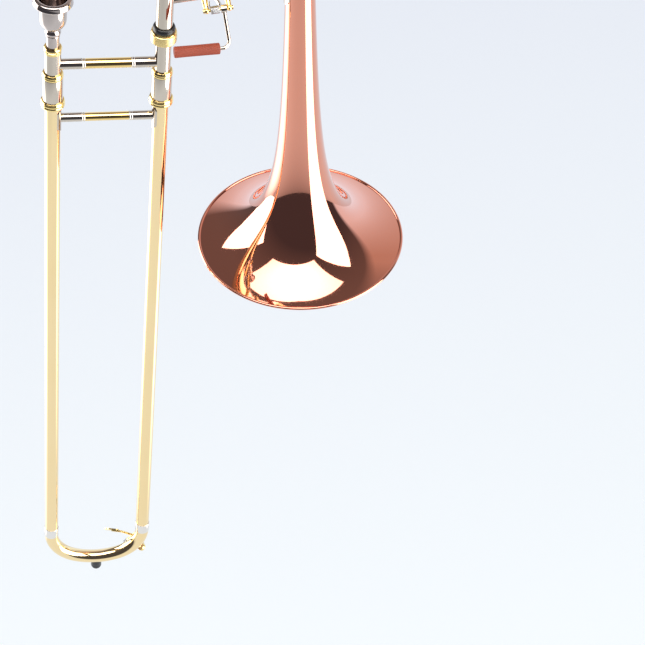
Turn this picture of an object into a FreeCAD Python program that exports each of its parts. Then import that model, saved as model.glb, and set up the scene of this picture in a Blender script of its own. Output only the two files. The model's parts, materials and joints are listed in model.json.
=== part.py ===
import FreeCAD, Part
import math
import os

from FreeCAD import Placement, Rotation, Vector

# Tenor trombone with an F attachment, in millimetres.
# Row frame: origin at the centre of the bell mouth, +Z up along the bell axis (the mouth faces -Z),
# +X from the slide towards the bell, +Y away from the player's thumb lever.
# Slide frame: origin where the bell-side slide tube crosses Z = 0, local +Z up along the tubes,
# local +X towards the mouthpiece-side tube, local +Y towards the thumb lever's side (about -Y of the row).

# ---- bell ----
# outside radius = flare radius * (1 + height / reach) ** -power + stem radius - taper * height
FLARE_RADIUS, FLARE_REACH, FLARE_POWER = 91.6, 54.0, 1.77
STEM_RADIUS, STEM_TAPER = 15.3, 0.0105
BELL_WALL = 0.7
BELL_TOP = 500.0
BELL_SEAM = 160.0           # where the spun flare is brazed to the stem
BELL_CURVE_POINTS = 15
RIM_RADIUS = 106.8          # centre circle of the rolled rim
RIM_BEAD = 1.6

# ---- slide placing and main sizes ----
SLIDE_OFFSET = 157.4        # bell-side slide tube to the bell axis at the bell mouth
SLIDE_LEAN = 4.4            # degrees between the slide tubes and the bell axis
SLIDE_TURN = 5.4            # degrees from the bell plane to the slide plane
SLIDE_WIDTH = 106.0         # between the two slide tubes
OUTER_TUBE = (7.7, 7.35)    # outside and inside radius
INNER_TUBE = (7.15, 6.75)
STOCKING = (7.3, 7.15)
INNER_TOP = 251.0
INNER_END = -425.0
STOCKING_LENGTH = 100.0
OUTER_TOP = 238.6
FERRULE_TOP = -427.5
FERRULE_END = -441.0
FERRULE_RADIUS = 8.15
BOW_START = -434.0
BOW_CORNER = 44.0           # bend radius at the two sides of the bow
BOW_CORNER_TURN = 70.0      # degrees turned at each side
BOW_WALL = 0.45

# ---- barrels and braces of the slide ----
BARREL_RADIUS = 10.1
BARREL_BORE = 7.95
BARREL_LOW, BARREL_HIGH = 224.6, 252.4
LOW_RING_BOTTOM, LOW_RING_RADIUS = 216.4, 12.0
TOP_RING_HIGH, TOP_RING_RADIUS = 258.6, 10.4
INNER_BRACE_LEVEL, INNER_BRACE_RADIUS = 267.6, 5.1
OUTER_BRACE_LEVEL, OUTER_BRACE_RADIUS = 200.0, 4.3
SOCKET_LENGTH, SOCKET_EXTRA = 21.0, 0.35
FOOT_WALL = 0.9

# ---- tenon, nut, receiver, mouthpiece ----
TENON_RADIUS = 7.95
TENON_WALL = 0.5
PLUG_RADIUS, PLUG_TOP = 7.0, 324.6
THREAD_LOW, THREAD_TOP, THREAD_RADIUS = 295.2, 301.9, 10.6
FLANGE_LOW, FLANGE_RADIUS = 302.1, 10.4     # the shoulder at the neckpipe's lower end
NECK_LOW = 303.5
SOCKET_TOP = 330.6
NUT_GAP = 0.1
NUT_LOW, NUT_HIGH, NUT_RADIUS = 293.8, 306.8, 12.8
NUT_RUBBER_TOP, NUT_RUBBER_RADIUS = 312.2, 10.8
NECK_RADIUS, NECK_BORE = 8.35, 7.6
RECEIVER_RADIUS, RECEIVER_TOP = 8.1, 283.0
RECEIVER_RING_TOP = 290.2
SHANK_END, SHANK_END_RADIUS = 236.0, 5.85
SHANK_TOP, SHANK_TOP_RADIUS = 300.0, 6.5
SHANK_GAP = 0.05

# ---- front bell brace and thumb lever ----
BRACE_HEIGHT = 342.0
BRACE_RADIUS = 4.6
HINGE_Y, HINGE_Z = -15.0, 333.2
POST_X = (-94.5, -72.6)
HINGE_ROD_RADIUS = 1.5
KNOB_RADIUS = 2.9
RUNNING_GAP = 0.05
LEVER_COLLAR = (-80.8, -75.7)
LEVER_WIRE_RADIUS = 1.75
SLEEVE_LEFT = Vector(-131.2, -37.0, 307.3)
SLEEVE_RIGHT = Vector(-87.4, -37.0, 303.9)
SLEEVE_RADIUS = 5.5
BACK_ARM_LENGTH = 49.0
BACK_ARM_X = -86.0
CRANK_RADIUS = 10.0
ROD_EYE_Y = 28.0            # middle of the push rod's upper eye, behind the valve's centre
ROD_CUP_RADIUS, ROD_CUP_BORE = 4.2, 2.75
ROD_END_RADIUS = 2.1

# ---- rotary valve ----
VALVE = Vector(-98.0, 0.0, 462.0)
CASING_RADIUS, CASING_BORE = 19.0, 16.0
CASING_HALF = 13.0
ROTOR_RADIUS, ROTOR_HALF = 15.95, 10.6
PORT_BORE = 6.9
PORT_SOCKET_END = 27.0
PORT_TUBE_START = 19.6
F_TUBE = (7.9, 7.3)
MAIN_TUBE = (9.0, 8.4)

# ---- main tuning slide ----
MAIN_LEG_X = -126.0
TUNING_SLEEVE_LOW, TUNING_SLEEVE_HIGH = 503.0, 583.0
TUNING_CROOK_Z = 602.0
LEFT_LEG = (9.6, 9.0)
RIGHT_LEG = (11.1, 10.5)
SLEEVE_WALL = 0.75
REAR_BRACE_Z = 540.0

# ---- F attachment ----
F_Y = 24.0
F_LEFT_X, F_RIGHT_X = -74.0, -16.0
F_LOWER_BEND_Z = 395.0
F_SLEEVE_LOW, F_SLEEVE_HIGH = 560.0, 640.0
F_CROOK_Z = 750.0
F_LEG = (8.35, 7.8)

# ---- water key ----
KEY_TURN = 38.0             # degrees round the bow's corner
KEY_PIVOT_BACK = 12.4       # pivot behind the bow's centre line
KEY_LEAN = 4.0              # degrees that the nipple leans back from the slide plane
KEY_TAB_TILT = 32.0         # degrees that the finger tab is turned about the key's arm
KEY_PIN_ENDS = (-9.6, 17.4)     # along the pivot; the long end carries the spring

SLIDE = Placement(
    Vector(-SLIDE_OFFSET, 0, 0),
    Rotation(Vector(0, 1, 0), SLIDE_LEAN) * Rotation(Vector(0, 0, 1), 180.0 - SLIDE_TURN),
)
X, Y, Z = Vector(1, 0, 0), Vector(0, 1, 0), Vector(0, 0, 1)


# ---------------------------------------------------------------- helpers
def rod(start, end, radius):
    along = end - start
    return Part.makeCylinder(radius, along.Length, start, along)


def tube(start, end, radii):
    return rod(start, end, radii[0]).cut(rod(start, end, radii[1]))


def cone(start, end, start_radius, end_radius):
    along = end - start
    return Part.makeCone(start_radius, end_radius, along.Length, start, along)


def outline(points):
    """A closed wire in the XZ plane. A step is a point (radius, height) reached by a straight line,
    or ("arc", via, end) for an arc through the point via."""
    edges = []
    first = Vector(points[0][0], 0, points[0][1])
    here = first
    for step in points[1:] + [points[0]]:
        if step[0] == "arc":
            via = Vector(step[1][0], 0, step[1][1])
            end = Vector(step[2][0], 0, step[2][1])
            edges.append(Part.Arc(here, via, end).toShape())
        else:
            end = Vector(step[0], 0, step[1])
            if (end - here).Length < 1e-6:
                continue
            edges.append(Part.LineSegment(here, end).toShape())
        here = end
    return Part.Wire(edges)


def turned(points, place=None):
    """A solid of revolution about the local Z axis."""
    solid = Part.Face(outline(points)).revolve(Vector(0, 0, 0), Z, 360)
    if place is not None:
        solid.Placement = place
    return solid


def facing(base, direction):
    """A placement that puts local Z along a direction."""
    return Placement(base, Rotation(Z, direction))


def route(points, bends):
    """Straight runs joined by tangent arcs; bends holds one radius for each inner point."""
    edges = []
    here = points[0]
    for index, radius in enumerate(bends, start=1):
        corner = points[index]
        before = (corner - points[index - 1]).normalize()
        after = (points[index + 1] - corner).normalize()
        half_turn = before.getAngle(after) / 2
        back = radius * math.tan(half_turn)
        start = corner - before * back
        end = corner + after * back
        inward = (after - before).normalize()
        middle = corner + inward * (radius / math.cos(half_turn) - radius)
        if (start - here).Length > 1e-4:
            edges.append(Part.LineSegment(here, start).toShape())
        edges.append(Part.Arc(start, middle, end).toShape())
        here = end
    edges.append(Part.LineSegment(here, points[-1]).toShape())
    return Part.Wire(edges)


def swept(wire, radius):
    first = wire.Edges[0]
    start = first.valueAt(first.FirstParameter)
    along = first.tangentAt(first.FirstParameter)
    ring = Part.Wire(Part.makeCircle(radius, start, along))
    return wire.makePipeShell([ring], True, False)


def bent_tube(points, bends, radii):
    wire = route(points, bends)
    return swept(wire, radii[0]).cut(swept(wire, radii[1]))


def bent_rod(points, bends, radius):
    return swept(route(points, bends), radius)


def slid(shape):
    """Moves a shape from the slide frame to the row frame."""
    moved = shape.copy()
    moved.Placement = SLIDE.multiply(moved.Placement)
    return moved


def save(name, shapes):
    """Writes one node; a list of shapes becomes a group of separate solids."""
    group = shapes if isinstance(shapes, list) else [shapes]
    solids = []
    for shape in group:
        solids += shape.Solids
    for solid in solids:
        if not solid.isValid() or solid.Volume <= 0:
            raise ValueError(name + " holds a solid that isn't valid")
    shape = solids[0] if len(solids) == 1 else Part.makeCompound(solids)
    shape.exportStep("parts/" + name + ".step")
    box = shape.BoundBox
    print(f"{name:26s} {len(solids)} volume {shape.Volume:9.1f}  x {box.XMin:7.1f} {box.XMax:7.1f}"
          f"  y {box.YMin:6.1f} {box.YMax:6.1f}  z {box.ZMin:7.1f} {box.ZMax:7.1f}")


def stadium(centre, long_way, upward, half_length, half_width, height):
    """A flat block with two round ends; its base is at the centre and it rises along upward."""
    straight = half_length - half_width
    block = Part.makeBox(2 * straight, 2 * half_width, height, Vector(-straight, -half_width, 0))
    side = upward.cross(long_way)
    block.Placement = Placement(FreeCAD.Matrix(
        long_way.x, side.x, upward.x, centre.x,
        long_way.y, side.y, upward.y, centre.y,
        long_way.z, side.z, upward.z, centre.z,
        0, 0, 0, 1,
    ))
    for end in (-1, 1):
        end_centre = centre + long_way * (end * straight)
        block = block.fuse(Part.makeCylinder(half_width, height, end_centre, upward))
    return block


def saddle_foot(centre, tube_axis, outward, tube_radius, half_length, half_width, wall=FOOT_WALL):
    """A curved plate with rounded ends that lies on a tube, seen along its outward direction."""
    low = centre - tube_axis * half_length
    high = centre + tube_axis * half_length
    shell = tube(low, high, (tube_radius + wall, tube_radius))
    reach = tube_radius + 2 * wall
    return shell.common(stadium(centre, tube_axis, outward, half_length, half_width, reach))


# ---------------------------------------------------------------- bell
def bell_radius(height):
    flare = FLARE_RADIUS * (1 + height / FLARE_REACH) ** -FLARE_POWER
    return flare + STEM_RADIUS - STEM_TAPER * height


def bell_slope(height):
    """How fast the outside radius changes with height."""
    flare = FLARE_RADIUS * (1 + height / FLARE_REACH) ** (-FLARE_POWER - 1)
    return -FLARE_POWER / FLARE_REACH * flare - STEM_TAPER


def bell_curve(wall):
    """The bell's generator, moved inwards along its normal by the wall."""
    places = []
    for step in range(BELL_CURVE_POINTS + 1):
        height = 0.3 + (BELL_TOP - 0.3) * (step / BELL_CURVE_POINTS) ** 2.4
        slope = bell_slope(height)
        length = math.hypot(1, slope)
        places.append(Vector(bell_radius(height) - wall / length, 0, height + wall * slope / length))
    places[-1].z = BELL_TOP
    curve = Part.BSplineCurve()
    curve.interpolate(places)
    return curve.toShape(), places


def bell_parts():
    outside, outer_places = bell_curve(0.0)
    inside, inner_places = bell_curve(BELL_WALL)
    top = Part.LineSegment(outer_places[-1], inner_places[-1]).toShape()
    bottom = Part.LineSegment(inner_places[0], outer_places[0]).toShape()
    section = Part.Face(Part.Wire([outside, top, inside, bottom]))
    flare = section.revolve(Vector(0, 0, 0), Z, 360)
    bead = Part.makeTorus(RIM_RADIUS, RIM_BEAD)
    reach = 2 * RIM_RADIUS
    below_seam = Part.makeBox(2 * reach, 2 * reach, 2 * BELL_SEAM, Vector(-reach, -reach, -BELL_SEAM))
    save("bell_flare", flare.cut(bead).common(below_seam))
    save("bell_stem", flare.cut(below_seam))
    save("bell_rim", bead)


# ---------------------------------------------------------------- slide
def side_point(side, level):
    """A point on a slide tube's axis; side 0 is the bell side and 1 the mouthpiece side."""
    return Vector(side * SLIDE_WIDTH, 0, level)


def straight_tube(side, low, high, radii):
    return tube(side_point(side, low), side_point(side, high), radii)


def slide_tubes():
    for side, name in enumerate(("bell_side", "mouthpiece_side")):
        save("outer_tube_" + name, slid(straight_tube(side, BOW_START, OUTER_TOP, OUTER_TUBE)))
    save("inner_tubes", [slid(straight_tube(side, INNER_END, INNER_TOP, INNER_TUBE)) for side in (0, 1)])
    stocking_top = INNER_END + STOCKING_LENGTH
    save("inner_stockings", [slid(straight_tube(side, INNER_END, stocking_top, STOCKING)) for side in (0, 1)])
    corks = [slid(straight_tube(side, OUTER_TOP + 0.4, OUTER_TOP + 8, (BARREL_BORE, INNER_TUBE[0])))
             for side in (0, 1)]
    save("barrel_corks", corks)


def barrel(side):
    """A barrel shell, closed at the top where the inner tube is held."""
    place = Placement(side_point(side, 0), Rotation())
    return turned([
        (BARREL_BORE, BARREL_LOW),
        (BARREL_RADIUS, BARREL_LOW),
        (BARREL_RADIUS, BARREL_HIGH),
        (INNER_TUBE[0], BARREL_HIGH),
        (INNER_TUBE[0], OUTER_TOP + 8.5),
        (BARREL_BORE, OUTER_TOP + 8.5),
    ], place)


def grooved_ring(side, low, high, radius, bore, groove=0.7):
    """A brass ring with a rounded outside and one groove round its middle."""
    middle = (low + high) / 2
    third = (high - low) / 2 - groove
    return turned([
        (bore, low),
        (radius - 0.8, low),
        ("arc", (radius, low + third / 2), (radius - 0.5, middle - groove / 2)),
        (radius - 1.1, middle),
        (radius - 0.5, middle + groove / 2),
        ("arc", (radius, high - third / 2), (radius - 0.8, high)),
        (bore, high),
    ], Placement(side_point(side, 0), Rotation()))


def barrels():
    save("barrels", [slid(barrel(side)) for side in (0, 1)])
    rings = []
    for side in (0, 1):
        rings.append(slid(grooved_ring(side, BARREL_HIGH, TOP_RING_HIGH, TOP_RING_RADIUS, INNER_TUBE[1])))
    rings.append(slid(grooved_ring(1, LOW_RING_BOTTOM, BARREL_LOW, LOW_RING_RADIUS, BARREL_BORE)))
    save("barrel_rings", rings)
    lock = grooved_ring(0, LOW_RING_BOTTOM, BARREL_LOW - 0.1, LOW_RING_RADIUS, BARREL_BORE)
    save("slide_lock_ring", slid(lock))


def brace(level, radius, tube_radius_bell, tube_radius_mouth):
    """A brace across the slide: a brass middle and two nickel sockets cut to the tubes."""
    bell_side = rod(side_point(0, level - 20), side_point(0, level + 20), tube_radius_bell)
    mouth_side = rod(side_point(1, level - 20), side_point(1, level + 20), tube_radius_mouth)
    near = side_point(0, level)
    far = side_point(1, level)
    near_end = near + X * (tube_radius_bell + SOCKET_LENGTH)
    far_end = far - X * (tube_radius_mouth + SOCKET_LENGTH)
    middle = rod(near_end, far_end, radius)
    socket_radius = radius + SOCKET_EXTRA
    sockets = [
        rod(near, near_end, socket_radius).cut(bell_side),
        rod(far_end, far, socket_radius).cut(mouth_side),
    ]
    return middle, sockets


def braces():
    middle, sockets = brace(INNER_BRACE_LEVEL, INNER_BRACE_RADIUS, TENON_RADIUS, RECEIVER_RADIUS)
    save("inner_brace_tube", slid(middle))
    save("inner_brace_sockets", [slid(shape) for shape in sockets])
    feet_radius = OUTER_TUBE[0] + FOOT_WALL
    middle, sockets = brace(OUTER_BRACE_LEVEL, OUTER_BRACE_RADIUS, feet_radius, feet_radius)
    save("outer_brace_tube", slid(middle))
    feet = [slid(shape) for shape in sockets]
    for side, outward in ((0, X), (1, X * -1)):
        centre = side_point(side, OUTER_BRACE_LEVEL)
        feet.append(slid(saddle_foot(centre, Vector(0, 0, 1), outward, OUTER_TUBE[0], 15.0, 6.6)))
    save("outer_brace_sockets", feet)


def slide_tenon():
    """Tube above the bell-side barrel, its thread collar and the plug that enters the neckpipe."""
    tenon = turned([
        (PLUG_RADIUS - TENON_WALL, TOP_RING_HIGH),
        (TENON_RADIUS, TOP_RING_HIGH),
        (TENON_RADIUS, THREAD_LOW),
        (THREAD_RADIUS, THREAD_LOW),
        (THREAD_RADIUS, THREAD_TOP),
        (PLUG_RADIUS, THREAD_TOP),
        (PLUG_RADIUS, PLUG_TOP),
        (PLUG_RADIUS - TENON_WALL, PLUG_TOP),
    ])
    save("slide_tenon", slid(tenon))


def receiver():
    place = Placement(side_point(1, 0), Rotation())
    taper = (SHANK_TOP_RADIUS - SHANK_END_RADIUS) / (SHANK_TOP - SHANK_END)

    def bore(level):
        return SHANK_END_RADIUS + SHANK_GAP + taper * (level - SHANK_END)

    tube_body = turned([
        (bore(TOP_RING_HIGH), TOP_RING_HIGH),
        (RECEIVER_RADIUS, TOP_RING_HIGH),
        (RECEIVER_RADIUS, RECEIVER_TOP),
        (bore(RECEIVER_TOP), RECEIVER_TOP),
    ], place)
    ring = turned([
        (bore(RECEIVER_TOP), RECEIVER_TOP),
        (8.35, RECEIVER_TOP),
        (8.35, RECEIVER_TOP + 2.8),
        (7.9, RECEIVER_TOP + 3.2),
        (7.9, RECEIVER_TOP + 3.6),
        ("arc", (8.85, RECEIVER_TOP + 5.3), (8.2, RECEIVER_RING_TOP)),
        (bore(RECEIVER_RING_TOP), RECEIVER_RING_TOP),
    ], place)
    leadpipe = turned([
        (5.6, 120.0),
        (INNER_TUBE[1], 120.0),
        (INNER_TUBE[1], TOP_RING_HIGH),
        (bore(TOP_RING_HIGH), TOP_RING_HIGH),
        (bore(SHANK_END), SHANK_END),
        (5.2, SHANK_END - 8),
    ], place)
    save("mouthpiece_receiver", slid(tube_body))
    save("receiver_ring", slid(ring))
    save("leadpipe", slid(leadpipe))


def mouthpiece():
    cup = turned([
        (4.6, SHANK_END),
        (SHANK_END_RADIUS, SHANK_END),
        (SHANK_TOP_RADIUS, SHANK_TOP),
        (6.5, 303.2),
        (6.95, 303.7),
        (6.95, 304.7),
        (6.6, 305.1),
        ("arc", (7.85, 308.0), (6.6, 311.2)),
        (6.2, 311.7),
        (6.2, 312.4),
        ("arc", (10.9, 316.6), (13.2, 323.6)),
        (13.35, 327.0),
        (13.4, 337.5),
        ("arc", (14.0, 339.9), (16.4, 341.3)),
        (18.6, 342.4),
        ("arc", (19.3, 343.1), (19.4, 344.2)),
        (19.0, 347.4),
        ("arc", (18.4, 348.9), (17.0, 349.5)),
        ("arc", (15.6, 349.8), (14.6, 349.4)),
        (14.1, 348.8),
        (13.2, 346.6),
        (12.5, 336.0),
        ("arc", (9.6, 326.0), (3.5, 320.0)),
        (3.5, 312.0),
    ], Placement(side_point(1, 0), Rotation()))
    save("mouthpiece", slid(cup))


def bow_path():
    """Half the bow's turn is a tight corner, a wide middle arc and the other corner."""
    turn = math.radians(BOW_CORNER_TURN)
    half_middle = math.pi / 2 - turn
    middle_radius = (SLIDE_WIDTH / 2 - BOW_CORNER * (1 - math.cos(turn))) / math.sin(half_middle)
    start = side_point(0, FERRULE_END)
    corner_centre = start + X * BOW_CORNER

    def corner(angle):
        return corner_centre + Vector(-math.cos(angle), 0, -math.sin(angle)) * BOW_CORNER

    def mirrored(point):
        return Vector(SLIDE_WIDTH - point.x, 0, point.z)

    join = corner(turn)
    bottom = Vector(SLIDE_WIDTH / 2, 0, join.z - middle_radius * (1 - math.cos(half_middle)))
    edges = [
        Part.LineSegment(side_point(0, BOW_START), start).toShape(),
        Part.Arc(start, corner(turn / 2), join).toShape(),
        Part.Arc(join, bottom, mirrored(join)).toShape(),
        Part.Arc(mirrored(join), mirrored(corner(turn / 2)), mirrored(start)).toShape(),
        Part.LineSegment(mirrored(start), side_point(1, BOW_START)).toShape(),
    ]
    return Part.Wire(edges), bottom, corner(math.radians(KEY_TURN))


def bow():
    wire, bottom, key_centre = bow_path()
    body = swept(wire, OUTER_TUBE[0])
    save("slide_bow", slid(body.cut(swept(wire, OUTER_TUBE[0] - BOW_WALL))))
    ferrules = []
    for side in (0, 1):
        ferrule = turned([
            (OUTER_TUBE[0], FERRULE_END),
            (FERRULE_RADIUS - 0.2, FERRULE_END),
            (FERRULE_RADIUS, FERRULE_END + 0.8),
            (FERRULE_RADIUS, FERRULE_TOP - 0.8),
            (FERRULE_RADIUS - 0.2, FERRULE_TOP),
            (OUTER_TUBE[0], FERRULE_TOP),
        ], Placement(side_point(side, 0), Rotation()))
        ferrules.append(slid(ferrule))
    save("bow_ferrules", ferrules)
    bumper = turned([
        (0, -20.8),
        (2.0, -20.8),
        ("arc", (4.9, -18.4), (6.1, -13.0)),
        (6.4, -9.0),
        (6.4, 0.0),
        (0, 0.0),
    ], Placement(bottom, Rotation()))
    save("bow_bumper", slid(bumper.cut(body)))
    return body, swept(wire, OUTER_TUBE[0] + 0.7), key_centre


def water_key(bow_body, bow_thick, centre):
    """Saddle and nipple on the bow's corner, and the lever that closes the nipple with its cork."""
    angle = math.radians(KEY_TURN)
    inward = Vector(math.cos(angle), 0, math.sin(angle))
    along = Vector(math.sin(angle), 0, -math.cos(angle))
    back = Vector(0, -1, 0)
    lean = math.radians(KEY_LEAN)
    out = (inward * -math.cos(lean) + back * math.sin(lean)).normalize()
    pivot = centre + back * KEY_PIVOT_BACK

    nipple = tube(centre, centre + out * 10.0, (2.6, 1.6)).cut(bow_body)
    plate = bow_thick.cut(bow_body).common(stadium(centre, along, back, 8.5, 5.0, 12.0))
    saddle = [plate, nipple]
    for end in (-1, 1):
        ear_middle = centre + along * (end * 6.4) + back * (KEY_PIVOT_BACK - 2.0)
        ear = stadium(ear_middle, back, along * end, 4.4, 2.3, 1.6)
        saddle.append(ear.cut(bow_thick))
    pin = rod(pivot + along * KEY_PIN_ENDS[0], pivot + along * KEY_PIN_ENDS[1], 0.9)
    save("water_key_saddle", [slid(shape.cut(pin)) for shape in saddle])
    save("water_key_pin", slid(pin))

    cork_place = facing(centre + out * 10.1, out)
    cork = turned([(0, 0), (3.9, 0), (3.9, 3.4), (0, 3.4)], cork_place)
    cap = turned([
        (3.95, 1.2),
        (4.6, 1.2),
        (4.6, 3.6),
        ("arc", (3.6, 5.3), (0.8, 6.0)),
        (0, 6.0),
        (0, 3.45),
        (3.95, 3.45),
    ], cork_place)
    hub = tube(pivot - along * 5.9, pivot + along * 5.9, (2.0, 0.95))
    cap_top = centre + out * 15.4
    shoulder = centre + inward * -15.6 + back * 11.0
    bar = bent_rod([cap_top, shoulder, pivot + back * 2.4 - inward * 1.5], [5.0], 1.4)
    tip = centre + inward * 24.9 + back * 15.4 + along * 8.6
    elbow = centre + inward * 14.2 + back * 14.6 + along * 3.1
    arm = bent_rod([pivot + back * 1.2 + inward * 1.2, elbow, tip], [14.0], 1.3)
    reach = (tip - elbow).normalize()
    side = back.cross(reach).normalize()
    tab_face = Rotation(reach, -KEY_TAB_TILT).multVec(reach.cross(side))
    tab = stadium(tip, reach, tab_face, 8.8, 4.2, 1.7)
    bore = rod(pivot - along * 7, pivot + along * 7, 0.95)
    lever = hub.fuse(bar).fuse(arm).fuse(tab).fuse(cap).cut(bore).cut(cork)
    save("water_key_lever", slid(lever))
    save("water_key_cork", slid(cork))
    coil = tube(pivot + along * 8.1, pivot + along * 16.5, (2.6, 1.7))
    save("water_key_spring", slid(coil))


# ---------------------------------------------------------------- neckpipe, nut and front brace
def slide_axis(level):
    return SLIDE.multVec(Vector(0, 0, level))


def port_point(x_sign, z_sign, distance):
    reach = distance / math.sqrt(2)
    return VALVE + Vector(x_sign * reach, 0, z_sign * reach)


def neck_parts():
    """The neckpipe rises on the slide's axis and bends into the valve's lower left port."""
    up = slide_axis(1) - slide_axis(0)
    low = slide_axis(NECK_LOW)
    across = (VALVE.x - VALVE.z) - (low.x - low.z)
    corner = low + up * (across / (up.x - up.z))
    start_turn = [low, corner, port_point(-1, -1, PORT_TUBE_START)]
    save("neckpipe", bent_tube(start_turn, [26.0], (NECK_RADIUS, NECK_BORE)))
    socket = turned([
        (PLUG_RADIUS + RUNNING_GAP, FLANGE_LOW),
        (FLANGE_RADIUS, FLANGE_LOW),
        (FLANGE_RADIUS, NECK_LOW),
        (NECK_BORE, NECK_LOW),
        (NECK_BORE, SOCKET_TOP),
        (PLUG_RADIUS + RUNNING_GAP, SOCKET_TOP),
    ])
    save("tenon_socket", slid(socket))
    nut = turned([
        (THREAD_RADIUS + NUT_GAP, NUT_LOW),
        (NUT_RADIUS - 1.4, NUT_LOW),
        ("arc", (NUT_RADIUS - 0.5, NUT_LOW + 0.8), (NUT_RADIUS, NUT_LOW + 2.6)),
        (NUT_RADIUS, NUT_HIGH - 4.0),
        ("arc", (NUT_RADIUS - 0.6, NUT_HIGH - 1.2), (NUT_RADIUS - 1.6, NUT_HIGH)),
        (NECK_RADIUS + NUT_GAP, NUT_HIGH),
        (NECK_RADIUS + NUT_GAP, NECK_LOW + 3 * NUT_GAP),
        (THREAD_RADIUS + NUT_GAP, NECK_LOW + 3 * NUT_GAP),
    ])
    save("lock_nut", slid(nut))
    rubber = turned([
        (NECK_RADIUS + NUT_GAP, NUT_HIGH),
        (NUT_RUBBER_RADIUS, NUT_HIGH),
        ("arc", (NUT_RUBBER_RADIUS + 0.2, NUT_HIGH + 3.0), (NUT_RUBBER_RADIUS - 0.9, NUT_RUBBER_TOP)),
        (NECK_RADIUS + NUT_GAP, NUT_RUBBER_TOP),
    ])
    save("nut_rubber_ring", slid(rubber))


def front_brace():
    neck_level = BRACE_HEIGHT / math.cos(math.radians(SLIDE_LEAN))
    on_neck = slide_axis(neck_level)
    on_neck.z = BRACE_HEIGHT
    neck = rod(slide_axis(neck_level - 40), slide_axis(neck_level + 40), NECK_RADIUS)
    stem_radius = bell_radius(BRACE_HEIGHT)
    foot_top = Vector(0, 0, BRACE_HEIGHT)
    outside, _ = bell_curve(0.0)
    plate_curve, _ = bell_curve(-1.1)
    stem = revolved_stem(outside)
    foot_skin = revolved_stem(plate_curve)
    neck_end = on_neck + X * (NECK_RADIUS + 23.0)
    stem_end = foot_top - X * (stem_radius + 12.0)
    save("front_brace_tube", rod(neck_end, stem_end, BRACE_RADIUS))
    sockets = [
        rod(on_neck, neck_end, BRACE_RADIUS + 0.4).cut(neck),
        rod(stem_end, foot_top, BRACE_RADIUS + 0.4).cut(foot_skin),
    ]
    window = stadium(foot_top, Vector(0, 0, 1), Vector(-1, 0, 0), 25.0, 8.5, 30.0)
    sockets.append(foot_skin.common(window).cut(stem))
    save("front_brace_sockets", sockets)


def revolved_stem(curve):
    """A filled piece of the bell's stem inside one of its generator curves."""
    ends = [curve.valueAt(curve.FirstParameter), curve.valueAt(curve.LastParameter)]
    axis_low = Vector(0, 0, ends[0].z)
    axis_high = Vector(0, 0, ends[1].z)
    wire = Part.Wire([
        curve,
        Part.LineSegment(ends[1], axis_high).toShape(),
        Part.LineSegment(axis_high, axis_low).toShape(),
        Part.LineSegment(axis_low, ends[0]).toShape(),
    ])
    return Part.Face(wire).revolve(Vector(0, 0, 0), Z, 360)


# ---------------------------------------------------------------- thumb lever
def hinge_line(left, right, radius):
    """A rod on the thumb lever's hinge between two X values."""
    return rod(Vector(left, HINGE_Y, HINGE_Z), Vector(right, HINGE_Y, HINGE_Z), radius)


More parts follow.
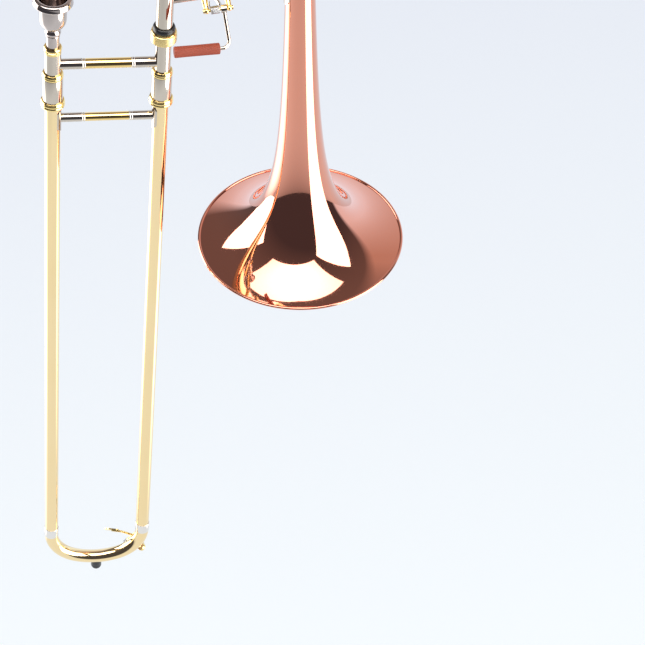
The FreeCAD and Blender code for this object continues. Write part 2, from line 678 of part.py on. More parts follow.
def lever_parts():
    hinge_rod = hinge_line(POST_X[0] - KNOB_RADIUS, POST_X[1] + KNOB_RADIUS, HINGE_ROD_RADIUS)
    brace_line = rod(Vector(-110, 0, BRACE_HEIGHT), Vector(-60, 0, BRACE_HEIGHT), BRACE_RADIUS)
    posts = []
    screws = []
    for end, x in zip((-1, 1), POST_X):
        knob_centre = Vector(x, HINGE_Y, HINGE_Z)
        post = cone(Vector(x, 0, BRACE_HEIGHT), knob_centre, 3.4, 2.2)
        post = post.fuse(Part.makeSphere(KNOB_RADIUS, knob_centre)).cut(brace_line).cut(hinge_rod)
        collar = rod(Vector(x - 2.6, 0, BRACE_HEIGHT), Vector(x + 2.6, 0, BRACE_HEIGHT), BRACE_RADIUS + 0.9)
        post = post.fuse(collar.cut(brace_line))
        head = rod(knob_centre, knob_centre + X * (end * (KNOB_RADIUS + 0.7)), 2.1)
        screws.append(head.cut(Part.makeSphere(KNOB_RADIUS, knob_centre)))
        posts.append(post)
    save("lever_posts", posts)
    save("lever_hinge_screw", hinge_rod.fuse(screws[0]).fuse(screws[1]))
    spring_left = POST_X[0] + KNOB_RADIUS + 0.2
    spring_right = LEVER_COLLAR[0] - 0.5
    spring = hinge_line(spring_left, spring_right, 4.1).cut(hinge_line(spring_left, spring_right, 3.1))
    save("lever_spring", spring)

    half_rise = CRANK_RADIUS / math.sqrt(2)
    drop = math.asin(half_rise / BACK_ARM_LENGTH)
    ball = Vector(BACK_ARM_X, HINGE_Y + BACK_ARM_LENGTH * math.cos(drop), HINGE_Z - half_rise)
    hole = hinge_line(POST_X[0], POST_X[1], HINGE_ROD_RADIUS + RUNNING_GAP)
    collar = hinge_line(LEVER_COLLAR[0], LEVER_COLLAR[1], 4.0)
    root = Vector(-78.1, HINGE_Y, HINGE_Z)
    arm = bent_rod([root, Vector(-79.2, -4.0, HINGE_Z - 4.0), ball], [20.0], 2.0)
    pin = rod(ball, ball + X * -4.6, 1.2).fuse(Part.makeSphere(2.5, ball + X * -5.6))
    save("lever_arm", collar.fuse(arm).fuse(pin).cut(hole))
    along_sleeve = SLEEVE_LEFT - SLEEVE_RIGHT
    sleeve_length = along_sleeve.Length
    along_sleeve.normalize()
    corner = SLEEVE_RIGHT - along_sleeve * 10.6
    inside = SLEEVE_RIGHT + along_sleeve * 34.0
    start = Vector(-78.0, -16.2, HINGE_Z - 1.6)
    wire = bent_rod([start, corner, inside], [7.0], LEVER_WIRE_RADIUS)
    save("thumb_wire", wire.cut(collar))
    sleeve = turned([
        (0, 0),
        (SLEEVE_RADIUS - 0.6, 0),
        (SLEEVE_RADIUS, 0.6),
        (SLEEVE_RADIUS, sleeve_length - 0.6),
        (SLEEVE_RADIUS - 0.6, sleeve_length),
        (0, sleeve_length),
    ], facing(SLEEVE_RIGHT, along_sleeve))
    save("thumb_sleeve", sleeve.cut(wire))
    return ball + X * -5.6


def push_rod(lower_ball):
    """The rod from the lever's ball to the crank pin; its upper end stands beside the pin."""
    upper = VALVE + Vector(-CRANK_RADIUS, 0, -CRANK_RADIUS) * (1 / math.sqrt(2)) + Y * ROD_EYE_Y
    cup = turned([
        (0, -ROD_CUP_RADIUS),
        (1.2, -ROD_CUP_RADIUS),
        ("arc", (3.3, -2.6), (ROD_CUP_RADIUS, 0)),
        (ROD_CUP_RADIUS, 0.6),
        (ROD_CUP_BORE, 0.6),
        (ROD_CUP_BORE, 0),
        ("arc", (1.95, -1.95), (0.8, -ROD_CUP_BORE)),
        (0, -ROD_CUP_BORE),
    ], facing(lower_ball, X))
    direction = (upper - lower_ball).normalize()
    start = lower_ball + direction * 3.6
    shank = rod(start, upper - direction * 2.0, 1.4)
    lower_thick = rod(start, start + direction * 16, ROD_END_RADIUS)
    upper_thick = rod(upper - direction * 18, upper - direction * 3.4, ROD_END_RADIUS)
    eye = rod(upper - Y * 0.2, upper + Y * 2.6, 4.2)
    beside_cup = Part.makeBox(12, 12, 12, lower_ball + Vector(0.6, -6, -6))
    body = shank.fuse(lower_thick).cut(beside_cup).cut(cup).fuse(upper_thick).fuse(eye)
    save("push_rod", [body, cup])


# ---------------------------------------------------------------- rotary valve
def valve_parts():
    casing = rod(VALVE - Y * CASING_HALF, VALVE + Y * CASING_HALF, CASING_RADIUS)
    openings = rod(VALVE - Y * 20, VALVE + Y * 20, CASING_BORE)
    for x_sign, z_sign in ((-1, -1), (-1, 1), (1, -1), (1, 1)):
        tube_radius = F_TUBE[0]
        if x_sign < 0:
            tube_radius = NECK_RADIUS if z_sign < 0 else MAIN_TUBE[0]
        outer_end = port_point(x_sign, z_sign, PORT_SOCKET_END)
        casing = casing.fuse(rod(port_point(x_sign, z_sign, 12), outer_end, tube_radius + 1.0))
        openings = openings.fuse(rod(port_point(x_sign, z_sign, PORT_TUBE_START), outer_end, tube_radius))
        openings = openings.fuse(rod(port_point(x_sign, z_sign, 8), outer_end, PORT_BORE))
    save("valve_casing", casing.cut(openings))
    plate = rod(VALVE + Y * CASING_HALF, VALVE + Y * (CASING_HALF + 2.6), CASING_RADIUS)
    boss = rod(VALVE + Y * CASING_HALF, VALVE + Y * (CASING_HALF + 4.0), 6.0)
    shaft_hole = rod(VALVE, VALVE + Y * 30, 3.0 + RUNNING_GAP)
    save("valve_bearing_plate", plate.fuse(boss).cut(shaft_hole))
    cap = turned([
        (0, 0.4),
        (17.0, 0.4),
        (17.0, 0),
        (20.0, 0),
        (20.0, 3.2),
        ("arc", (19.4, 4.4), (18.0, 4.6)),
        ("arc", (9.2, 6.4), (1.5, 7.0)),
        (0, 7.0),
    ], facing(VALVE - Y * CASING_HALF, Y * -1))
    save("valve_cap", cap)
    rotor = rod(VALVE - Y * ROTOR_HALF, VALVE + Y * ROTOR_HALF, ROTOR_RADIUS)
    passage_offset = CASING_BORE * math.sqrt(2)
    for side in (-1, 1):
        passage = Part.makeTorus(CASING_BORE, PORT_BORE, VALVE + X * (side * passage_offset), Y)
        rotor = rotor.cut(passage)
    shaft = rod(VALVE + Y * (ROTOR_HALF - 0.5), VALVE + Y * 21.5, 3.0)
    save("rotor", rotor.fuse(shaft))
    pin_base = VALVE + Vector(-CRANK_RADIUS, 0, -CRANK_RADIUS) * (1 / math.sqrt(2))
    low, high = 17.4, 20.6
    hub = rod(VALVE + Y * low, VALVE + Y * high, 6.4)
    finger = rod(pin_base + Y * low, pin_base + Y * high, 3.0)
    half = (pin_base - VALVE).normalize()
    side = Vector(half.z, 0, -half.x)
    web = Part.makeBox(CRANK_RADIUS, 6.0, high - low, Vector(0, -3.0, 0))
    web.Placement = Placement(FreeCAD.Matrix(
        half.x, side.x, 0, VALVE.x,
        half.y, side.y, 1, VALVE.y + low,
        half.z, side.z, 0, VALVE.z,
        0, 0, 0, 1,
    ))
    arm = hub.fuse(finger).fuse(web)
    crank_pin = rod(pin_base + Y * high, pin_base + Y * 24.6, 1.5)
    ball = Part.makeSphere(2.6, pin_base + Y * 24.2)
    arm = arm.fuse(crank_pin).fuse(ball).cut(rod(VALVE, VALVE + Y * 21.5, 3.0))
    screw_outline = [(0, 0), (4.2, 0), (4.2, 1.0), ("arc", (2.6, 2.2), (0.8, 2.5)), (0, 2.5)]
    screw = turned(screw_outline, facing(VALVE + Y * 21.5, Y))
    save("stop_arm", [arm, screw])
    bumpers = []
    for degrees in (256.0, 104.0):
        angle = math.radians(degrees)
        base = VALVE + Vector(math.cos(angle), 0, math.sin(angle)) * 10.4
        bumpers.append(rod(base + Y * (CASING_HALF + 2.6), base + Y * 20.0, 2.0))
    save("stop_bumpers", [bumper.cut(boss) for bumper in bumpers])


# ---------------------------------------------------------------- tuning slide
def tuning_parts():
    leg_corner = port_point(-1, 1, (VALVE.x - MAIN_LEG_X) * math.sqrt(2))
    leg_top = Vector(MAIN_LEG_X, 0, TUNING_SLEEVE_LOW + 6)
    leg = bent_tube([port_point(-1, 1, PORT_TUBE_START), leg_corner, leg_top], [30.0], MAIN_TUBE)
    save("valve_to_tuning_leg", leg)
    gap = RUNNING_GAP
    left = turned([
        (MAIN_TUBE[0], TUNING_SLEEVE_LOW),
        (LEFT_LEG[0] + gap + 1.6, TUNING_SLEEVE_LOW),
        (LEFT_LEG[0] + gap + 1.6, TUNING_SLEEVE_LOW + 6),
        (LEFT_LEG[0] + gap + SLEEVE_WALL, TUNING_SLEEVE_LOW + 7),
        (LEFT_LEG[0] + gap + SLEEVE_WALL, TUNING_SLEEVE_HIGH),
        (LEFT_LEG[0] + gap, TUNING_SLEEVE_HIGH),
        (LEFT_LEG[0] + gap, TUNING_SLEEVE_LOW + 6),
        (MAIN_TUBE[0], TUNING_SLEEVE_LOW + 6),
    ], Placement(Vector(MAIN_LEG_X, 0, 0), Rotation()))
    right = turned([
        (RIGHT_LEG[0] + gap, BELL_TOP),
        (RIGHT_LEG[0] + gap + 1.8, BELL_TOP),
        (RIGHT_LEG[0] + gap + 1.8, BELL_TOP + 9),
        (RIGHT_LEG[0] + gap + SLEEVE_WALL, BELL_TOP + 10),
        (RIGHT_LEG[0] + gap + SLEEVE_WALL, TUNING_SLEEVE_HIGH),
        (RIGHT_LEG[0] + gap, TUNING_SLEEVE_HIGH),
    ])
    save("tuning_sleeves", [left, right])

    left_axis = Vector(MAIN_LEG_X, 0, 0)
    leg_low = TUNING_SLEEVE_LOW + 9
    legs = [
        tube(left_axis + Z * leg_low, left_axis + Z * TUNING_CROOK_Z, LEFT_LEG),
        tube(Z * leg_low, Z * TUNING_CROOK_Z, RIGHT_LEG),
    ]
    ferrule_low = TUNING_SLEEVE_HIGH + 0.4
    for base, radius in ((left_axis, LEFT_LEG[0]), (Vector(0, 0, 0), RIGHT_LEG[0])):
        legs.append(turned([
            (radius, ferrule_low),
            (radius + 1.2, ferrule_low),
            (radius + 1.2, ferrule_low + 11),
            (radius + 0.5, ferrule_low + 12),
            (radius + 0.5, TUNING_CROOK_Z),
            (radius, TUNING_CROOK_Z),
        ], Placement(base, Rotation())))
    save("tuning_legs", legs)
    width = -MAIN_LEG_X
    top = Vector(MAIN_LEG_X / 2, 0, TUNING_CROOK_Z + width / 2)
    arc = Part.Wire(Part.Arc(left_axis + Z * TUNING_CROOK_Z, top, Z * TUNING_CROOK_Z).toShape())

    def horn(left_radius, right_radius):
        rings = [
            Part.Wire(Part.makeCircle(left_radius, left_axis + Z * TUNING_CROOK_Z, Z)),
            Part.Wire(Part.makeCircle(right_radius, Z * TUNING_CROOK_Z, Z)),
        ]
        return arc.makePipeShell(rings, True, False)

    crook = horn(LEFT_LEG[0], RIGHT_LEG[0]).cut(horn(LEFT_LEG[1], RIGHT_LEG[1]))
    save("tuning_crook", crook)
    brace_z = ferrule_low + 5.5
    brace_line = rod(left_axis + Z * brace_z, Z * brace_z, 4.0)
    for base, radius in ((left_axis, LEFT_LEG[0]), (Vector(0, 0, 0), RIGHT_LEG[0])):
        brace_line = brace_line.cut(rod(base + Z * (brace_z - 9), base + Z * (brace_z + 9), radius + 1.2))
    save("tuning_slide_brace", brace_line)

    left_radius = LEFT_LEG[0] + gap + SLEEVE_WALL
    right_radius = RIGHT_LEG[0] + gap + SLEEVE_WALL
    left_point = left_axis + Z * REAR_BRACE_Z
    right_point = Z * REAR_BRACE_Z
    feet = [
        saddle_foot(left_point, Vector(0, 0, 1), X, left_radius, 17.0, 7.0),
        saddle_foot(right_point, Vector(0, 0, 1), X * -1, right_radius, 17.0, 7.0),
    ]
    left_skin = rod(left_point - Z * 9, left_point + Z * 9, left_radius + FOOT_WALL)
    right_skin = rod(right_point - Z * 9, right_point + Z * 9, right_radius + FOOT_WALL)
    bar = rod(left_point, right_point, 4.4).cut(left_skin).cut(right_skin)
    save("rear_brace", [bar] + feet)


# ---------------------------------------------------------------- F attachment
def f_parts():
    upper_corner = port_point(1, 1, 40.0)
    upper = [
        port_point(1, 1, PORT_TUBE_START),
        upper_corner,
        Vector(F_LEFT_X, F_Y, 519.0),
        Vector(F_LEFT_X, F_Y, F_SLEEVE_LOW + 5),
    ]
    save("f_upper_tube", bent_tube(upper, [21.0, 28.0], F_TUBE))
    bend = (F_RIGHT_X - F_LEFT_X) / 2
    lower = [
        port_point(1, -1, PORT_TUBE_START),
        port_point(1, -1, 40.0),
        Vector(F_LEFT_X, F_Y, 405.0),
        Vector(F_LEFT_X, F_Y, F_LOWER_BEND_Z - bend),
        Vector(F_RIGHT_X, F_Y, F_LOWER_BEND_Z - bend),
        Vector(F_RIGHT_X, F_Y, F_SLEEVE_LOW + 5),
    ]
    radius = bend - 0.01
    save("f_lower_tube", bent_tube(lower, [21.0, 24.0, radius, radius], F_TUBE))
    gap = RUNNING_GAP
    sleeves = []
    legs = []
    for x in (F_LEFT_X, F_RIGHT_X):
        place = Placement(Vector(x, F_Y, 0), Rotation())
        sleeves.append(turned([
            (F_TUBE[0], F_SLEEVE_LOW),
            (F_LEG[0] + gap + 1.3, F_SLEEVE_LOW),
            (F_LEG[0] + gap + 1.3, F_SLEEVE_LOW + 5),
            (F_LEG[0] + gap + 0.6, F_SLEEVE_LOW + 6),
            (F_LEG[0] + gap + 0.6, F_SLEEVE_HIGH),
            (F_LEG[0] + gap, F_SLEEVE_HIGH),
            (F_LEG[0] + gap, F_SLEEVE_LOW + 5),
            (F_TUBE[0], F_SLEEVE_LOW + 5),
        ], place))
        legs.append(tube(Vector(x, F_Y, F_SLEEVE_LOW + 9), Vector(x, F_Y, F_CROOK_Z), F_LEG))
        legs.append(turned([
            (F_LEG[0], F_SLEEVE_HIGH + 0.4),
            (F_LEG[0] + 1.1, F_SLEEVE_HIGH + 0.4),
            (F_LEG[0] + 1.1, F_SLEEVE_HIGH + 10),
            (F_LEG[0] + 0.5, F_SLEEVE_HIGH + 11),
            (F_LEG[0], F_SLEEVE_HIGH + 11),
        ], place))
    save("f_sleeves", sleeves)
    save("f_slide_legs", legs)
    start = Vector(F_LEFT_X, F_Y, F_CROOK_Z)
    end = Vector(F_RIGHT_X, F_Y, F_CROOK_Z)
    top = Vector((F_LEFT_X + F_RIGHT_X) / 2, F_Y, F_CROOK_Z + bend)
    arc = Part.Wire(Part.Arc(start, top, end).toShape())
    save("f_slide_crook", swept(arc, F_LEG[0]).cut(swept(arc, F_LEG[1])))
    brace_line = rod(start - Z * 55, end - Z * 55, 3.2)
    for base in (start, end):
        brace_line = brace_line.cut(rod(base - Z * 65, base - Z * 45, F_LEG[0]))
    save("f_slide_brace", brace_line)

    stays = []
    sleeve_radius = F_LEG[0] + gap + 0.6
    pairs = (
        (MAIN_LEG_X, LEFT_LEG[0] + gap + SLEEVE_WALL, F_LEFT_X, sleeve_radius, 572.0),
        (0.0, RIGHT_LEG[0] + gap + SLEEVE_WALL, F_RIGHT_X, sleeve_radius, 572.0),
    )
    for main_x, main_radius, f_x, f_radius, height in pairs:
        main_point = Vector(main_x, 0, height)
        f_point = Vector(f_x, F_Y, height)
        stay = rod(main_point, f_point, 3.0)
        stay = stay.cut(rod(main_point - Z * 5, main_point + Z * 5, main_radius))
        stays.append(stay.cut(rod(f_point - Z * 5, f_point + Z * 5, f_radius)))
    low = 440.0
    stem = revolved_stem(bell_curve(0.0)[0])
    stay = rod(Vector(0, 0, low), Vector(F_RIGHT_X, F_Y, low), 3.0).cut(stem)
    stays.append(stay.cut(rod(Vector(F_RIGHT_X, F_Y, low - 5), Vector(F_RIGHT_X, F_Y, low + 5), F_TUBE[0])))
    save("f_stays", stays)


os.makedirs("parts", exist_ok=True)
bell_parts()
slide_tubes()
barrels()
braces()
slide_tenon()
receiver()
mouthpiece()
bow_solid, bow_outside, key_place = bow()
water_key(bow_solid, bow_outside, key_place)
neck_parts()
front_brace()
rod_seat = lever_parts()
push_rod(rod_seat)
valve_parts()
tuning_parts()
f_parts()
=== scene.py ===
import json
import math

import bpy
from mathutils import Matrix, Vector


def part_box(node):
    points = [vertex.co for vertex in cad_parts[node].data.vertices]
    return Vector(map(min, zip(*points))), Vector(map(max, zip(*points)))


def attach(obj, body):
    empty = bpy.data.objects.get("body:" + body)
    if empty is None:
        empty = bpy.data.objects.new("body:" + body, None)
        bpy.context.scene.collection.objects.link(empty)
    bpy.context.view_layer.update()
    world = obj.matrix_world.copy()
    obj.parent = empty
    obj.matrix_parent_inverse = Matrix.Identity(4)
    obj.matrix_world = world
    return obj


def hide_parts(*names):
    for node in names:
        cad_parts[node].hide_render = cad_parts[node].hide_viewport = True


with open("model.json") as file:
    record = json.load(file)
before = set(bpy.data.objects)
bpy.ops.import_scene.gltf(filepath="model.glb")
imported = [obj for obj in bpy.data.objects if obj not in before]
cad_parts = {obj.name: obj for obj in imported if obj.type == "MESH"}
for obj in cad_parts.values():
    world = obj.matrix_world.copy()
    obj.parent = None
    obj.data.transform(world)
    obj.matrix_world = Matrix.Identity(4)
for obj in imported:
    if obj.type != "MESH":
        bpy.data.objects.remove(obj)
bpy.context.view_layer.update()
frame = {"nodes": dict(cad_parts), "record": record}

# A tenor trombone's looks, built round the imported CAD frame. Metres; lengths written in millimetres
# are multiplied by MM where a mesh is made.
MM = 0.001

# ---- bell, in millimetres; outside radius =
# flare radius * (1 + height / reach) ** -power + stem radius - taper * height ----
FLARE_RADIUS, FLARE_REACH, FLARE_POWER = 91.6, 54.0, 1.77
STEM_RADIUS, STEM_TAPER = 15.3, 0.0105
BELL_WALL = 0.7
BELL_EDGE = 0.3             # where the sheet starts, above the middle of the rim's bead
BELL_RINGS = 130
BELL_CROWDING = 2.2         # above 1, the rings crowd towards the mouth
BELL_SEGMENTS = 224
ROUND = 96                  # segments round a tube or ring

# ---- slide frame: local Z up along the bell-side tube, local X towards the mouthpiece-side tube ----
SLIDE_OFFSET = 157.4
SLIDE_LEAN = 4.4
SLIDE_TURN = 5.4
SLIDE_WIDTH = 106.0

# ---- thumb lever and valve ----
HINGE_Y, HINGE_Z = -15.0, 333.2
SPRING_LEFT, SPRING_RIGHT = -91.0, -81.3
SPRING_RADIUS, SPRING_WIRE = 3.55, 0.5
SLEEVE_LEFT = (-131.2, -37.0, 307.3)
SLEEVE_RIGHT = (-87.4, -37.0, 303.9)
SLEEVE_RADIUS = 5.5
VALVE = (-98.0, 0.0, 462.0)
CAP_OUT = 13.0              # from the valve's middle to the cap's seat

# ---- lock nut's knurl ----
KNURL_GROOVES = 54          # round the nut, in each direction
KNURL_RISE = 4.6            # radians of groove pattern for each millimetre of height
KNURL_DEPTH = 0.16
KNURL_RADIUS = 12.4         # only what lies outside this is cut
KNURL_LOW, KNURL_HIGH = 295.6, 304.2

# ---- slide braces: piece, body, level, radii of the parts they meet, own radius ----
BRACES = (
    ("inner_brace_beads", "inner_slide", 267.6, (7.95, 8.1), 5.1),
    ("outer_brace_beads", "outer_slide", 200.0, (8.6, 8.6), 4.3),
)
BRACE_SOCKET = 21.0
BEAD_STARTS = (-1.9, 0.1)   # two beads on either side of each joint, along the brace

# ---- water key, on the bow's corner at the bell side ----
KEY_TURN = 38.0             # degrees round the corner
KEY_PIVOT_BACK = 12.4
BOW_CORNER = 44.0
FERRULE_END = -441.0
KEY_COIL_START, KEY_COIL_LENGTH = 8.5, 7.4
KEY_COIL_RADIUS, KEY_COIL_WIRE, KEY_COIL_TURNS = 2.15, 0.42, 6

# ---- camera ----
CAMERA_PLACE = (-0.4144, -1.7826, 1.7935)
CAMERA_HEADING = 13.85      # degrees from +Y towards +X
CAMERA_TILT = 46.47         # degrees below the horizon
CAMERA_ROLL = -0.55
CAMERA_LENS = 135.1
CAMERA_SENSOR = 36.0
CAMERA_REACH = 200.0

# ---- stage ----
FLOOR_HEIGHT = -1.30
FLOOR_SIZE = 60.0
REFLECTED_FLOOR_LIFT = 0.005
GLOW_LIFT = 0.01
DOME_RADIUS = 4.0
SIDE_LIGHT = 5.0
TOP_LIGHT = 5.2
TOP_EDGE_LIGHT = 3.0
LEFT_GLOW = 3.2
RIGHT_GLOW = 2.0
LAMP_PLACE = Vector((-1.6, -1.4, 2.2))
LAMP_POWER = 9.0
LAMP_SIZE = 1.2
WARM_WHITE = (1.0, 0.985, 0.96)

# ---- softboxes: the upright ones hold (sideways, height), the top one (x, y) for each metre of height ----
SOFTBOX_DISTANCE = 1.5
LEFT_SOFTBOX = (
    (-0.01, -0.61), (-0.24, -0.42), (-0.12, 0.20), (-0.12, 1.03), (1.60, 1.00), (1.28, 0.17), (0.96, -0.61),
)
RIGHT_SOFTBOX = (
    (-1.06, -1.28), (-1.20, 0.09), (-1.32, 1.73), (-0.46, 1.82), (0.51, 2.00), (0.41, 1.34), (0.28, -1.28),
)
TOP_SOFTBOX = (
    (-0.92, -0.41), (0.22, -0.91), (0.46, -0.11), (-0.02, -0.01), (-0.41, 0.21), (-0.60, 0.20),
)
TOP_HEIGHT = 1.95

UP = Vector((0, 0, 1))


# ---------------------------------------------------------------- places
def slide_place(side):
    """The slide's frame on one of its tubes: side 0 is the bell side and 1 the mouthpiece side."""
    lean = Matrix.Rotation(math.radians(SLIDE_LEAN), 4, "Y")
    turn = Matrix.Rotation(math.radians(180.0 - SLIDE_TURN), 4, "Z")
    shift = Matrix.Translation((side * SLIDE_WIDTH * MM, 0, 0))
    return Matrix.Translation((-SLIDE_OFFSET * MM, 0, 0)) @ lean @ turn @ shift


def axes(origin, along, across):
    """A frame whose local Z is along and whose local X lies as near to across as it can."""
    z = along.normalized()
    x = (across - z * across.dot(z)).normalized()
    y = z.cross(x)
    place = Matrix((x, y, z)).transposed().to_4x4()
    place.translation = origin
    return place


# ---------------------------------------------------------------- materials
def node(tree, kind, **settings):
    made = tree.nodes.new(kind)
    for key, value in settings.items():
        if key in made.inputs:
            made.inputs[key].default_value = value
        else:
            setattr(made, key, value)
    return made


def new_material(name, **values):
    """A Principled material with a tree ready for its own nodes; constant values sit on its sockets."""
    material = bpy.data.materials.new(name)
    material.use_nodes = True
    tree = material.node_tree
    shader = tree.nodes["Principled BSDF"]
    for key, value in values.items():
        shader.inputs[key.replace("_", " ")].default_value = value
    return material, tree, shader


def noise(tree, scale, detail=3.0, stretch=(1, 1, 1)):
    """Noise in the piece's own coordinates; scale is in features per metre."""
    place = node(tree, "ShaderNodeTexCoord")
    spread = node(tree, "ShaderNodeMapping", Scale=stretch)
    tree.links.new(place.outputs["Object"], spread.inputs["Vector"])
    made = node(tree, "ShaderNodeTexNoise", Scale=scale, Detail=detail)
    tree.links.new(spread.outputs["Vector"], made.inputs["Vector"])
    return made.outputs["Fac"]


def between(tree, factor, low, high, start=0.3, end=0.7):
    """A linear ramp from low to high, as numbers or colours."""
    ramp = node(tree, "ShaderNodeMapRange")
    ramp.inputs["From Min"].default_value = start
    ramp.inputs["From Max"].default_value = end
    tree.links.new(factor, ramp.inputs["Value"])
    if isinstance(low, (int, float)):
        ramp.inputs["To Min"].default_value = low
        ramp.inputs["To Max"].default_value = high
        return ramp.outputs["Result"]
    mix = node(tree, "ShaderNodeMix", data_type="RGBA")
    mix.inputs["A"].default_value = (*low, 1)
    mix.inputs["B"].default_value = (*high, 1)
    tree.links.new(ramp.outputs["Result"], mix.inputs["Factor"])
    return mix.outputs["Result"]


def rough_skin(tree, shader, factor, strength, distance):
    """Fine relief in the shading of a surface."""
    bump = node(tree, "ShaderNodeBump", Strength=strength, Distance=distance)
    tree.links.new(factor, bump.inputs["Height"])
    tree.links.new(bump.outputs["Normal"], shader.inputs["Normal"])


def polished(name, colour, other, roughness, lacquer=0.0):
    """Buffed metal: slow changes of tint, and fine wiping marks in the gloss."""
    material, tree, shader = new_material(name, Metallic=1.0)
    if lacquer:
        shader.inputs["Coat Weight"].default_value = lacquer
        shader.inputs["Coat Roughness"].default_value = 0.02
    tint = between(tree, noise(tree, 9.0), colour, other)
    tree.links.new(tint, shader.inputs["Base Color"])
    marks = noise(tree, 420.0, 5.0, (1, 1, 0.15))
    gloss = between(tree, marks, roughness * 0.6, roughness * 1.6)
    tree.links.new(gloss, shader.inputs["Roughness"])
    return material


def drawn(name, colour, other, roughness, stretch):
    """Metal with fine lines of its making, such as honed tube or ground wire."""
    material, tree, shader = new_material(name, Metallic=1.0)
    lines = noise(tree, 900.0, 4.0, stretch)
    tree.links.new(between(tree, lines, colour, other), shader.inputs["Base Color"])
    tree.links.new(between(tree, lines, roughness * 0.7, roughness * 1.5), shader.inputs["Roughness"])
    rough_skin(tree, shader, lines, 0.06, 0.0004)
    return material


def moulded(name, colour, other, roughness, grain, depth):
    """Rubber or plastic with a fine moulded grain."""
    material, tree, shader = new_material(name)
    tree.links.new(between(tree, noise(tree, 55.0), colour, other), shader.inputs["Base Color"])
    fine = noise(tree, grain, 2.0)
    tree.links.new(between(tree, fine, roughness * 0.85, roughness * 1.15), shader.inputs["Roughness"])
    rough_skin(tree, shader, fine, depth, 0.0006)
    return material


def cork_material():
    material, tree, shader = new_material("cork", Roughness=0.85)
    place = node(tree, "ShaderNodeTexCoord")
    cells = node(tree, "ShaderNodeTexVoronoi", Scale=1500.0)
    tree.links.new(place.outputs["Object"], cells.inputs["Vector"])
    tint = between(tree, cells.outputs["Distance"], (0.22, 0.12, 0.06), (0.50, 0.32, 0.18), 0.05, 0.5)
    tree.links.new(tint, shader.inputs["Base Color"])
    rough_skin(tree, shader, cells.outputs["Distance"], 0.5, 0.0004)
    return material


MATERIALS = {
    "copper": polished("red_copper", (0.78, 0.305, 0.205), (0.76, 0.29, 0.19), 0.04, lacquer=0.6),
    "brass": polished("yellow_brass", (0.915, 0.71, 0.40), (0.895, 0.68, 0.36), 0.06, lacquer=0.3),
    "golden_brass": polished("golden_brass", (0.87, 0.63, 0.25), (0.85, 0.60, 0.22), 0.06, lacquer=0.3),
    "bright_brass": polished("bright_brass", (0.90, 0.69, 0.30), (0.87, 0.65, 0.26), 0.09, lacquer=0.1),
    "nickel": polished("nickel_silver", (0.60, 0.53, 0.45), (0.57, 0.50, 0.43), 0.07),
    "pale_nickel": polished("pale_nickel", (0.80, 0.76, 0.72), (0.77, 0.73, 0.69), 0.08),
    "silver": polished("silver_plate", (0.52, 0.455, 0.43), (0.49, 0.43, 0.405), 0.06),
    "chrome": drawn("honed_chrome", (0.62, 0.63, 0.65), (0.56, 0.57, 0.59), 0.09, (1, 1, 0.03)),
    "spring_steel": drawn("spring_steel", (0.42, 0.42, 0.43), (0.52, 0.52, 0.53), 0.2, (0.2, 1, 1)),
    "black_rubber": moulded("black_rubber", (0.012, 0.012, 0.014), (0.02, 0.02, 0.022), 0.30, 1400.0, 0.08),
    "orange_sleeve": moulded("orange_sleeve", (0.37, 0.042, 0.006), (0.41, 0.050, 0.009), 0.7, 1900.0, 0.10),
    "cork": cork_material(),
}


# ---------------------------------------------------------------- mesh helpers
def piece(name, vertices, faces, body, slot, replaced=(), sharp=35.0, finish=None):
    """A smooth mesh that rides on a body and stands for CAD nodes; finish overrides the slot's material."""
    mesh = bpy.data.meshes.new(name)
    mesh.from_pydata([tuple(v) for v in vertices], [], faces)
    mesh.validate()
    mesh.shade_smooth()
    mesh.set_sharp_from_angle(angle=math.radians(sharp))
    made = bpy.data.objects.new(name, mesh)
    bpy.context.scene.collection.objects.link(made)
    mesh.materials.append(MATERIALS[finish or slot])
    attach(made, body)
    if replaced:
        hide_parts(*replaced)


class Shape:
    """Vertices and faces of one piece, gathered from several closed parts."""

    def __init__(self):
        self.vertices = []
        self.faces = []

    def add(self, vertices, faces):
        start = len(self.vertices)
        self.vertices += vertices
        self.faces += [tuple(start + index for index in face) for face in faces]

    def lathe(self, profile, place, segments=ROUND, relief=None):
        """A closed profile of (radius, height) millimetres turned round the place's Z axis.
        relief(angle, radius, height) gives what to add to a point's radius."""
        count = len(profile)
        vertices = []
        for turn in range(segments):
            angle = 2 * math.pi * turn / segments
            cosine, sine = math.cos(angle), math.sin(angle)
            for index, (radius, height) in enumerate(profile):
                if relief is not None:
                    radius += relief(angle, radius, height)
                vertices.append(place @ Vector((radius * cosine * MM, radius * sine * MM, height * MM)))
        faces = []
        for turn in range(segments):
            following = (turn + 1) % segments
            for index in range(count):
                after = (index + 1) % count
                if profile[index][0] == 0 and profile[after][0] == 0:
                    continue
                faces.append((
                    turn * count + index, following * count + index,
                    following * count + after, turn * count + after,
                ))
        self.add(vertices, faces)
        return self

    def sweep(self, points, radius, segments):
        """A round wire along points in metres, closed at both ends; its radius is in millimetres."""
        reach = radius * MM
        vertices = []
        for centre, side, lift in ring_frames(points):
            for turn in range(segments):
                angle = 2 * math.pi * turn / segments
                across = side * (math.cos(angle) * reach)
                vertices.append(centre + across + lift * (math.sin(angle) * reach))
        last = len(points) - 1
        faces = skin(len(points), segments)
        faces.append(tuple(reversed(range(segments))))
        faces.append(tuple(range(last * segments, (last + 1) * segments)))
        self.add(vertices, faces)
        return self


def skin(rings, segments):
    """The side faces between rings of points that follow one another."""
    faces = []
    for ring in range(rings - 1):
        for turn in range(segments):
            following = (turn + 1) % segments
            faces.append((
                ring * segments + turn, ring * segments + following,
                (ring + 1) * segments + following, (ring + 1) * segments + turn,
            ))
    return faces


